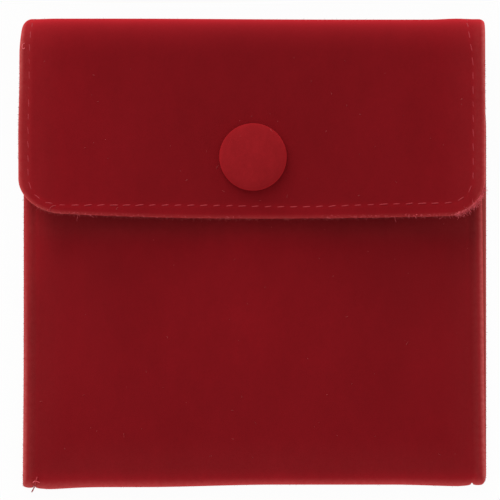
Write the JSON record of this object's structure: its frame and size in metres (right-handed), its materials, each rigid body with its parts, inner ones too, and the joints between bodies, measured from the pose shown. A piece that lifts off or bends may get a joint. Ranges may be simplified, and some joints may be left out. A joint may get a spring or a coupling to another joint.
{
  "type": "snap pouch",
  "caption": "Small square velvet pouch with a fold-over flap that closes with a cloth-covered press stud.",
  "frame": {"origin": "on the surface the pouch lies on, under the middle of its closed outline", "axes": "+X across the pouch, +Y from the bottom fold to the top fold, +Z out of the front face"},
  "size_m": [0.08, 0.08, 0.0149],
  "materials": {
    "velvet": "deep red velvet, short pile",
    "lining": "smooth suede-like lining, red",
    "stiffener": "bonded fibre interlining, grey",
    "nickel": "nickel-plated pressed metal",
    "spring": "drawn spring wire"
  },
  "bodies": {
    "pouch_body": {"velvet_back": "velvet", "velvet_bottom_fold": "velvet", "velvet_front": "velvet", "stiffener_back": "stiffener", "stiffener_front": "stiffener", "pocket_lining": "lining", "snap_stud": "nickel", "stud_post": "nickel"},
    "fold_strip_1": {"fold_velvet_1": "velvet", "fold_lining_1": "lining"},
    "fold_strip_2": {"fold_velvet_2": "velvet", "fold_lining_2": "lining"},
    "fold_strip_3": {"fold_velvet_3": "velvet", "fold_lining_3": "lining"},
    "flap": {"flap_velvet": "velvet", "flap_stiffener": "stiffener", "flap_lining": "lining", "cap_cover": "velvet", "cap_shell": "nickel", "cap_post": "nickel", "snap_socket": "nickel", "socket_spring": "spring"}
  },
  "joints": [
    {"name": "fold_hinge_1", "type": "hinge", "parent": "pouch_body", "child": "fold_strip_1", "pos_m": [0, 0.03605, 0.0008], "axis": [-1, 0, 0], "range_deg": [0, 43]},
    {"name": "fold_hinge_2", "type": "hinge", "parent": "fold_strip_1", "child": "fold_strip_2", "pos_m": [0, 0.0392, 0.00395], "axis": [-1, 0, 0], "range_deg": [0, 43]},
    {"name": "fold_hinge_3", "type": "hinge", "parent": "fold_strip_2", "child": "fold_strip_3", "pos_m": [0, 0.0392, 0.0084], "axis": [-1, 0, 0], "range_deg": [0, 43]},
    {"name": "flap_hinge", "type": "hinge", "parent": "fold_strip_3", "child": "flap", "pos_m": [0, 0.03605, 0.01155], "axis": [-1, 0, 0], "range_deg": [0, 43]}
  ],
  "couplings": [
    {"joint": "fold_hinge_1", "follows": "flap_hinge", "ratio": 1},
    {"joint": "fold_hinge_2", "follows": "flap_hinge", "ratio": 1},
    {"joint": "fold_hinge_3", "follows": "flap_hinge", "ratio": 1}
  ]
}
